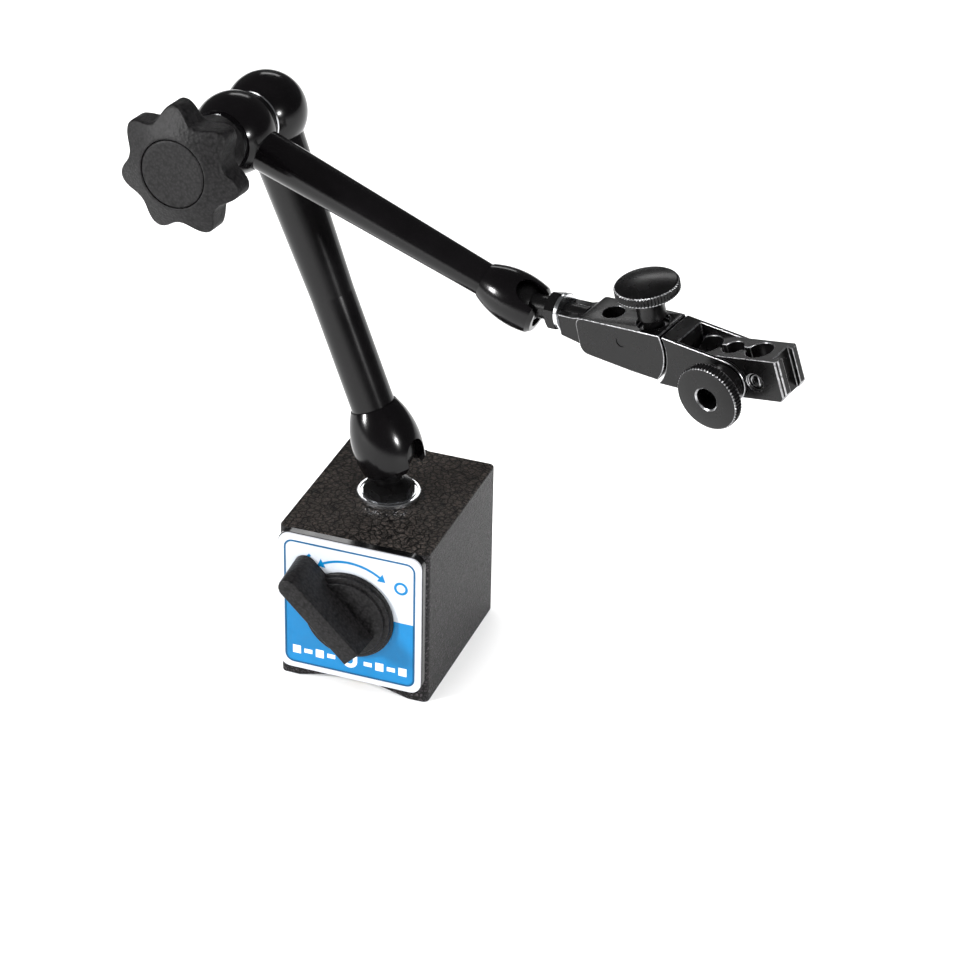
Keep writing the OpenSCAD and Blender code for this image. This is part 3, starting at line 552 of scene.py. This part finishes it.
class STAND_OT_finishes(StandOperator, Operator):
    """Makes every finish and gives the CAD nodes that stay in view theirs"""
    bl_idname = "stand.finishes"
    bl_label = "Finishes"

    def execute(self, context):
        c = context.scene.stand_colours
        FINISHES.update(
            wrinkle_black=wrinkle_paint("wrinkle_paint", tuple(c.wrinkle), tuple(c.steel)),
            brass=machined_brass("machined_brass", tuple(c.brass)),
            painted_brass=wrinkle_paint("painted_brass", tuple(c.wrinkle), tuple(c.brass)),
            ground_steel=ground_steel("ground_steel", tuple(c.steel)),
            rear_disc=moulded_grain("painted_disc", tuple(c.wrinkle), 0.45),
            bezel_black=gloss_moulding("gloss_bezel", tuple(c.bezel)),
            label=printed_plate("label_stock", tuple(c.label)),
            nickel=bright_plate("nickel_plate", tuple(c.nickel)),
            knob_plastic=moulded_grain("knob_moulding", tuple(c.knob)),
            lever_plastic=moulded_grain("switch_moulding", tuple(c.lever), 0.42),
            magnet=sintered("sintered_magnet", tuple(c.magnet)),
            gloss_enamel=gloss_enamel("arm_enamel", tuple(c.enamel)),
            black_oxide=black_oxide("holder_oxide", tuple(c.oxide)),
            # Painted edge highlight for bevels and chamfers.
            edge=edge_highlight_metal("painted_edge_highlight", tuple(c.edge)),
            field_ink=ink("pale_field_ink", tuple(c.label_field)),
            blue_ink=ink("blue_ink", tuple(c.label_blue)),
            line_ink=ink("outline_ink", tuple(c.label_line)),
            white_ink=ink("white_ink", tuple(c.label_white)),
            floor=studio_paper("studio_floor", tuple(c.floor)),
        )
        for part in frame["record"]["subparts"]:
            obj = frame["nodes"][part["node"]]
            finish = FINISHES["black_oxide" if part["node"] == "hinge_pin" else part["material_slot"]]
            if obj.material_slots:
                for material_slot in obj.material_slots:
                    material_slot.material = finish
            else:
                obj.data.materials.append(finish)
        return {"FINISHED"}


class STAND_OT_block(StandOperator, Operator):
    """Eases the edges of the magnet block"""
    bl_idname = "stand.block"
    bl_label = "Magnet block"

    def execute(self, context):
        width = context.scene.stand_sizes.block_edge / MM
        for node in ("separator_top", "separator_bottom"):
            frame["nodes"][node].data.materials[0] = FINISHES["painted_brass"]
        for node in ("pole_left", "pole_right"):
            piece = softened(node, width, segments=3, angle=40, seam=1.7)
            seat_piece(piece, "base", FINISHES["wrinkle_black"], [node])
        return {"FINISHED"}


class STAND_OT_label(StandOperator, Operator):
    """Prints the label: pale field, blue foot, outline, turning arrow and plain marks"""
    bl_idname = "stand.label"
    bl_label = "Label print"

    def execute(self, context):
        step = context.scene.stand_sizes.ink_height / MM
        low, high = local_box("label_plate", Matrix.Identity(4))
        face = low[1]
        mid = (high[2] + low[2]) / 2
        rim, corner, line, lap = 1.9, 3.0, 0.65, 0.5
        inner_w, inner_h = high[0] - low[0] - 2 * rim, high[2] - low[2] - 2 * rim

        def sheet(name, outline, layer, finish):
            points, faces = prism(outline, face - layer * step, face - (layer - 1) * step)
            seat_piece(new_object(name, points, faces), "base", FINISHES[finish])

        outer = round_rect(inner_w, inner_h, corner, mid)
        sheet("label_field", outer, 1, "field_ink")
        inner = round_rect(inner_w - 2 * line, inner_h - 2 * line, corner - line, mid)
        points, faces = frame_band(outer, inner, face - 2 * step, face - step)
        seat_piece(new_object("label_outline", points, faces), "base", FINISHES["line_ink"])

        centre = joint_pos("switch_turn").z / MM
        foot_top, bottom = centre + 0.6, mid - inner_h / 2 + lap
        half_w = inner_w / 2 - lap
        whole = round_rect(2 * half_w, 2 * (foot_top - bottom), corner - lap, foot_top)
        foot = [(-half_w, foot_top)] + [p for p in whole if p[1] < foot_top - 0.01] + [(half_w, foot_top)]
        middle = (foot_top + bottom) / 2
        foot.sort(key=lambda p: math.atan2(p[1] - middle, p[0]))
        sheet("label_foot", foot, 2, "blue_ink")

        self.arrow(face, step, centre)
        self.marks(face, step, centre, bottom)
        return {"FINISHED"}

    @staticmethod
    def arrow(face, step, centre):
        """A double-headed arc arrow over the switch."""
        radius, half_line, half_head, steps = 18.6, 0.42, 1.7, 32
        start, end, head = math.radians(57), math.radians(118), math.radians(7.5)

        def at(r, angle):
            return r * math.cos(angle), centre + r * math.sin(angle)

        def tip(angle, way):
            return [at(radius - half_head, angle), at(radius, angle + way * head),
                    at(radius + half_head, angle)]
        angles = [start + (end - start) * i / steps for i in range(steps + 1)]
        arc_out, arc_in = [[at(radius + side * half_line, angle) for angle in angles] for side in (1, -1)]
        for name, outline in (("label_arrow_arc", arc_out + arc_in[::-1]),
                              ("label_arrow_right", tip(start, -1)),
                              ("label_arrow_left", tip(end, 1))):
            points, faces = prism(outline, face - 2 * step, face - step)
            seat_piece(new_object(name, points, faces), "base", FINISHES["blue_ink"])

    @staticmethod
    def marks(face, step, centre, bottom):
        """A ring for off, a bar for on, and a horseshoe magnet between two rows of dashes."""
        def ring(cx, cz, outer, inner):
            lines = [[(cx + r * math.cos(a), cz + r * math.sin(a)) for a in
                      (2 * math.pi * i / 40 for i in range(40))] for r in (outer, inner)]
            return frame_band(*lines, face - 2 * step, face - step)

        def bar(cx, cz, long, wide, turn):
            c, s = math.cos(math.radians(turn)), math.sin(math.radians(turn))
            corners = [(x * long / 2, z * wide / 2) for x, z in ((-1, -1), (1, -1), (1, 1), (-1, 1))]
            return [(cx + x * c - z * s, cz + x * s + z * c) for x, z in corners]
        pieces = [("label_off_ring", ring(17.2, centre + 13.2, 2.3, 1.45), "blue_ink")]
        pieces.append(("label_on_bar", prism(bar(-14.6, centre + 17.0, 4.4, 0.95, 47), face - 2 * step,
                                             face - step), "blue_ink"))
        cz = bottom + 4.6
        outer, inner, leg, steps = 2.6, 1.2, 2.0, 16
        shoe = [(outer * math.cos(a), cz + outer * math.sin(a)) for a in
                (math.pi * i / steps + math.pi for i in range(steps + 1))]
        shoe += [(outer, cz + leg), (inner, cz + leg)]
        shoe += [(inner * math.cos(a), cz + inner * math.sin(a)) for a in
                 (-math.pi * i / steps for i in range(steps + 1))]
        shoe += [(-inner, cz + leg), (-outer, cz + leg)]
        pieces.append(("label_magnet_sign", prism(shoe, face - 3 * step, face - 2 * step), "white_ink"))
        for side in (-1, 1):
            for i in range(4):
                dash = bar(side * (6.2 + 3.9 * i), cz, 2.7, 2.9 if i % 2 else 1.5, 0)
                pieces.append((f"label_dash_{'left' if side < 0 else 'right'}_{i + 1}",
                               prism(dash, face - 3 * step, face - 2 * step), "white_ink"))
        for name, (points, faces), finish in pieces:
            seat_piece(new_object(name, points, faces), "base", FINISHES[finish])


class STAND_OT_switch(StandOperator, Operator):
    """Moulds the magnet switch: a stepped disc and its long lever"""
    bl_idname = "stand.switch"
    bl_label = "Magnet switch"

    def execute(self, context):
        low, high = local_box("switch_knob", SWITCH_PLACE)
        out, back = low[1], high[1]
        radius, stack, bore = 15.1, 3.55, 4.1
        turn = SWITCH_PLACE @ Matrix.Rotation(math.radians(90), 4, "X")
        base = -back
        # How far each step is cut back, the shares of the stack where it starts and ends, and its rounding
        levels = ((0.0, 0.0, 0.33, 0.30), (0.75, 0.33, 0.66, 0.25), (2.4, 0.66, 1.0, 0.30))
        profile = [(bore, base), (radius - 0.4, base), (radius, base + 0.3)]
        for cut, starts, ends, round_off in levels:
            top = base + stack * ends
            r = radius - cut
            if cut:
                profile.append((r, base + stack * starts + 0.12))
            profile += [(r, top - round_off), (r - 0.3 * round_off, top - 0.3 * round_off),
                        (r - round_off, top)]
        profile.append((bore, base + stack))
        disc = turned("switch_disc", profile, turn, 144, looped=True, sharp=50)
        seat_piece(disc, "switch", FINISHES["lever_plastic"], ["switch_knob"])

        half, low_end, high_end = 3.2, -9.4, 23.6
        draft, lean = 0.65, math.radians(-45)

        def bar(grow, by):
            """Outline of the lever, widened by its draft and drawn in by its rounding."""
            wide = half + grow
            line = [(-wide, low_end - grow), (wide, low_end - grow)]
            line += [(wide * math.cos(math.radians(a)), high_end - half + wide * math.sin(math.radians(a)))
                     for a in range(0, 181, 9)]
            return inset(line, by, (0, (low_end + high_end) / 2))
        rings = [[(x, y, z) for x, z in bar(grow, by)] for y, grow, by in
                 ((back - 0.2, draft, 0.0), (out + 0.6, 0.02, 0.0), (out + 0.28, 0.0, 0.06),
                  (out + 0.08, 0.0, 0.2),
                  (out, 0.0, 0.45))]
        place = SWITCH_PLACE @ Matrix.Rotation(lean, 4, "Y")
        lever = new_object("switch_lever", *skin(rings), place, sharp=60)
        seat_piece(lever, "switch", FINISHES["lever_plastic"])
        return {"FINISHED"}


class STAND_OT_star_knob(StandOperator, Operator):
    """Moulds the seven-lobed elbow knob with its rounded rim and the disc in its face"""
    bl_idname = "stand.star_knob"
    bl_label = "Star knob"

    def execute(self, context):
        lobes, tip, valley, phase = 7, 20.2, 15.9, math.radians(19)
        lobe_depth, slope = 10.8, 0.38
        bore, neck_r, cap_r = 6.6, 9.0, 10.3
        seat_r = cap_r + 0.8
        forward = Matrix.Translation((0, 8.2 * MM, 0))
        place = KNOB_PLACE @ forward @ Matrix.Rotation(math.radians(90), 4, "X")
        low, high = local_box("star_knob", place)
        back, front = low[2], high[2]
        rim = front - lobe_depth
        edge = front - slope * (tip - seat_r)
        plain_below, side, face = 50, 75, 100

        def lobed(angle):
            towards = math.pi / 2 - angle - phase
            return valley + (tip - valley) * ((1 + math.cos(lobes * towards)) / 2) ** 1.2

        def outline(angle, radius, height):
            """Small radii are plain. Those near side are set off from the lobes, those from face cross it."""
            if radius < plain_below:
                return radius, height
            if radius < face:
                lift = slope * (tip - lobed(angle)) if height > rim + 3 else 0.0
                return lobed(angle) + radius - side, height + lift
            r = seat_r + (lobed(angle) - 0.5 - seat_r) * (radius - face)
            return r, front - slope * (r - seat_r)
        profile = [(bore, back), (neck_r - 0.5, back), (neck_r, back + 0.4), (neck_r, rim - 0.9),
                   (neck_r + 0.4, rim - 0.3), (neck_r + 1.2, rim), (side - 3.2, rim + 0.05),
                   (side - 0.9, rim + 0.1), (side - 0.3, rim + 0.35), (side, rim + 0.9),
                   (side, edge - 0.75),
                   (side - 0.06, edge - 0.4), (side - 0.22, edge - 0.12)]
        profile += [(face + share, 0) for share in (1.0, 0.9, 0.7, 0.5, 0.3, 0.12, 0.0)]
        profile += [(cap_r + 0.5, front), (cap_r + 0.36, front - 0.06), (cap_r + 0.3, front - 0.2),
                    (cap_r + 0.28, front - 0.8), (cap_r + 0.1, front - 0.9), (cap_r + 0.1, front - 2.0),
                    (bore, front - 2.0)]
        knob = turned("star_knob_moulding", profile, place, 336, looped=True, shape=outline, sharp=28)
        seat_piece(knob, "elbow_knob", FINISHES["knob_plastic"], ["star_knob"])
        disc = [(0.02, front - 1.95), (cap_r, front - 1.95), (cap_r, front - 0.35),
                (cap_r - 0.08, front - 0.16),
                (cap_r - 0.3, front - 0.04), (cap_r - 0.7, front), (8.0, front - 0.03), (4.0, front - 0.09),
                (0.02, front - 0.12)]
        cap = turned("knob_face_disc", disc, place, 128, sharp=60)
        seat_piece(cap, "elbow_knob", FINISHES["knob_plastic"], ["knob_cap"])
        return {"FINISHED"}


class STAND_OT_holder(StandOperator, Operator):
    """Eases the machined edges of the fine-adjust body, the yoke and the clamp block and gives them a painted edge
    highlight
    """
    bl_idname = "stand.holder"
    bl_label = "Holder"

    def execute(self, context):
        width = context.scene.stand_sizes.eased_edge / MM
        for node, body in (("fine_body", "holder"), ("yoke", "yoke"), ("clamp_block", "clamp")):
            piece = softened(node, width, FINISHES["edge"])
            seat_piece(piece, body, FINISHES["black_oxide"], [node], FINISHES["edge"])
        return {"FINISHED"}


class STAND_OT_screws(StandOperator, Operator):
    """Turns and knurls the fine-adjust screw and the clamp screw"""
    bl_idname = "stand.screws"
    bl_label = "Knurled screws"

    def execute(self, context):
        sizes = context.scene.stand_sizes
        teeth, depth = sizes.knurl_teeth, sizes.knurl_depth / MM
        from_ball = 48
        place = HOLDER_PLACE @ Matrix.Translation((from_ball * MM, 0, 0))
        low, high = local_box("fine_screw", place)
        bottom, top = low[2], high[2]
        thread, shank, knurl, axis_r = 2.9, 4.2, 9.5, 0.02
        collar, head, rim, dome_steps = 5.2, 13.2, 16.5, 7
        profile = [(axis_r, bottom), (thread - 0.6, bottom), (thread, bottom + 0.5), (thread, collar),
                   (shank - 0.4, collar + 0.1), (shank, collar + 0.5), (shank, head - 0.4),
                   (shank + 0.3, head),
                   (knurl - 0.7, head), (knurl - 0.4, head + 0.15), (knurl, head + 0.5), (knurl, rim - 0.5),
                   (knurl - 0.4, rim - 0.12), (knurl - 0.8, rim + 0.05)]
        for k in range(dome_steps):
            left = 1 - k / dome_steps
            profile.append(((knurl - 1) * left, rim + 0.1 + (top - rim - 0.1) * (1 - left ** 2)))
        profile.append((axis_r, top))
        screw = self.knurled("fine_screw_knurled", profile, place, teeth, depth, knurl, (9, 11))
        seat_piece(screw, "fine_knob", FINISHES["black_oxide"], ["fine_screw"],
                   FINISHES["edge"])

        pivot = joint_pos("clamp_swivel")
        axis = joint_axis("clamp_turn")
        place = place_at(pivot, z=axis, x=HOLDER_PLACE.to_3x3() @ Vector((1, 0, 0)))
        low, high = local_box("clamp_screw", place)
        start, front = low[2], high[2]
        thread, shank, knurl, hole, collar = 2.4, 6.3, 9.9, 3.3, 6.5
        inner = front - 3.6
        profile = [(axis_r, start), (thread - 0.4, start), (thread, start + 0.4), (thread, collar),
                   (shank - 0.4, collar + 0.1), (shank, collar + 0.5), (shank, inner - 0.4),
                   (shank + 0.3, inner),
                   (knurl - 0.7, inner), (knurl - 0.4, inner + 0.15), (knurl, inner + 0.5),
                   (knurl, front - 0.5),
                   (knurl - 0.4, front - 0.12), (knurl - 0.8, front), (hole + 0.45, front),
                   (hole, front - 0.4),
                   (hole, front - 4.9), (axis_r, front - 5.0)]
        screw = self.knurled("clamp_screw_knurled", profile, place, teeth, depth, knurl, (9, 11, 14))
        seat_piece(screw, "clamp_knob", FINISHES["black_oxide"], ["clamp_screw"],
                   FINISHES["edge"])
        return {"FINISHED"}

    @staticmethod
    def knurled(name, profile, place, teeth, depth, knurl, bright):
        """A turned screw with teeth cut at one radius and a painted edge highlight on the bright steps of its
        profile.
        """
        def shape(angle, radius, height):
            if abs(radius - knurl) > 1e-6:
                return radius, height
            return radius - depth * (0.5 - 0.5 * math.cos(teeth * angle)) ** 0.8, height
        segments = teeth * 6
        screw = turned(name, profile, place, segments, shape=shape, sharp=40)
        give_highlight_bands(screw, segments, bright)
        return screw


class STAND_OT_studio(StandOperator, Operator):
    """Sets up the pale floor, the soft lights and the camera"""
    bl_idname = "stand.studio"
    bl_label = "Studio"

    def execute(self, context):
        scene, studio = context.scene, context.scene.stand_studio
        half, thick = 12.0 / MM, 20
        points, faces = prism([(-half, -thick), (half, -thick), (half, 0), (-half, 0)], -half, half)
        floor = new_object("studio_floor", points, faces)
        floor.data.materials.append(FINISHES["floor"])

        world = bpy.data.worlds.new("studio_room")
        world.use_nodes = True
        background = world.node_tree.nodes["Background"]
        background.inputs["Color"].default_value = (0.97, 0.98, 1.0, 1)
        background.inputs["Strength"].default_value = studio.sky
        scene.world = world
        target = Vector((0.03, -0.02, 0.11))
        self.light("key_light", target, (0.83, -0.47, 0.30), 1.3, (0.10, 0.10), studio.key_power, "DISK")
        self.light("side_box", target, (-0.664, -0.674, 0.324), 1.2, (0.16, 0.26), studio.side_power,
                   "RECTANGLE")
        self.light("back_strip", target, (-0.29, 0.81, 0.51), 1.3, (0.5, 0.16), studio.back_power,
                   "RECTANGLE")
        top = self.light("top_fill", target, (-0.1, 0.15, 1.0), 1.9, (2.2, 2.2), studio.top_power,
                         "RECTANGLE")
        sun = bpy.data.lights.new("even_daylight", "SUN")
        sun.energy = studio.daylight
        sun.angle = math.radians(60)
        daylight = bpy.data.objects.new("even_daylight", sun)
        daylight.rotation_euler = (math.radians(12), math.radians(-8), 0)
        context.collection.objects.link(daylight)
        for lamp in (top, daylight):
            lamp.visible_glossy = False

        lens = bpy.data.cameras.new("product_camera")
        lens.lens = studio.lens
        lens.sensor_width = 36.0
        lens.clip_end = 50.0
        camera = bpy.data.objects.new("product_camera", lens)
        context.collection.objects.link(camera)
        right, up, back = ((0.9381, 0.3459, 0.0181), (-0.1924, 0.4768, 0.8577), (0.2880, -0.8081, 0.5138))
        turn = Matrix((right, up, back)).transposed().to_4x4()
        camera.matrix_world = Matrix.Translation(Vector(studio.camera_place)) @ turn
        scene.camera = camera
        scene.view_settings.view_transform = "Standard"
        return {"FINISHED"}

    @staticmethod
    def light(name, target, direction, distance, size, power, shape):
        lamp = bpy.data.lights.new(name, "AREA")
        lamp.shape = shape
        lamp.size = size[0]
        if shape == "RECTANGLE":
            lamp.size_y = size[1]
        lamp.energy = power
        obj = bpy.data.objects.new(name, lamp)
        way = Vector(direction).normalized()
        obj.location = target + way * distance
        obj.rotation_euler = way.to_track_quat("Z", "Y").to_euler()
        bpy.context.collection.objects.link(obj)
        return obj


class STAND_PT_panel(Panel):
    """Lists the sizes, colours and steps of the stand"""
    bl_idname = "STAND_PT_panel"
    bl_label = "Magnetic Stand"
    bl_space_type = "VIEW_3D"
    bl_region_type = "UI"
    bl_category = "Stand"

    def draw(self, context):
        for title, group in (("Sizes", context.scene.stand_sizes), ("Colours", context.scene.stand_colours),
                             ("Studio", context.scene.stand_studio)):
            box = self.layout.box()
            box.label(text=title)
            for key in group.bl_rna.properties.keys():
                if key not in ("rna_type", "name"):
                    box.prop(group, key)
        for operator in OPERATORS:
            self.layout.operator(operator.bl_idname)


GROUPS = ((StandColours, "stand_colours"), (StandSizes, "stand_sizes"), (StudioSettings, "stand_studio"))
OPERATORS = (STAND_OT_finishes, STAND_OT_block, STAND_OT_label, STAND_OT_switch, STAND_OT_star_knob,
             STAND_OT_holder, STAND_OT_screws, STAND_OT_studio)


def register():
    for group, name in GROUPS:
        bpy.utils.register_class(group)
        setattr(bpy.types.Scene, name, PointerProperty(type=group))
    for cls in (*OPERATORS, STAND_PT_panel):
        bpy.utils.register_class(cls)


def unregister():
    for cls in reversed((*OPERATORS, STAND_PT_panel)):
        bpy.utils.unregister_class(cls)
    for group, name in reversed(GROUPS):
        delattr(bpy.types.Scene, name)
        bpy.utils.unregister_class(group)


def main():
    register()
    bpy.ops.stand.finishes()
    bpy.ops.stand.block()
    bpy.ops.stand.label()
    bpy.ops.stand.switch()
    bpy.ops.stand.star_knob()
    bpy.ops.stand.holder()
    bpy.ops.stand.screws()
    bpy.ops.stand.studio()
    bpy.context.view_layer.update()


if __name__ == "__main__":
    main()
